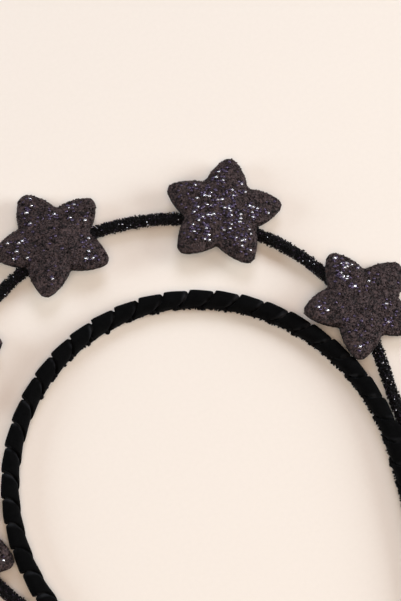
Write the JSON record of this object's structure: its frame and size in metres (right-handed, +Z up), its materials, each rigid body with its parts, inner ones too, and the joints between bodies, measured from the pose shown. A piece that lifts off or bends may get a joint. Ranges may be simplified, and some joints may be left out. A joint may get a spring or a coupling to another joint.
{
  "type": "star party crown",
  "caption": "Headband party crown lying flat: a velvet-wound C-shaped hoop with a halo of glitter-covered wire carrying padded glitter stars.",
  "frame": {"origin": "Middle of the bounding box's base, on the surface that the crown lies on.", "axes": "+X across the wearer's head, +Y from the open ends to the crown's top star, +Z up from the surface, out of the stars' faces."},
  "size_m": [0.201, 0.2056, 0.0103],
  "materials": {
    "hoop_plastic": "satin black springy plastic strip",
    "velvet_ribbon": "black velvet ribbon with a short pile",
    "wire_glitter": "rough black glitter cover on wire",
    "star_glitter": "dark plum glitter cloth over a soft pad"
  },
  "bodies": {
    "root": {"hoop": "hoop_plastic", "ribbon_wrap": "velvet_ribbon", "glitter_wire": "wire_glitter", "star_1": "star_glitter", "star_2": "star_glitter", "star_3": "star_glitter", "star_4": "star_glitter", "star_5": "star_glitter"}
  },
  "joints": []
}
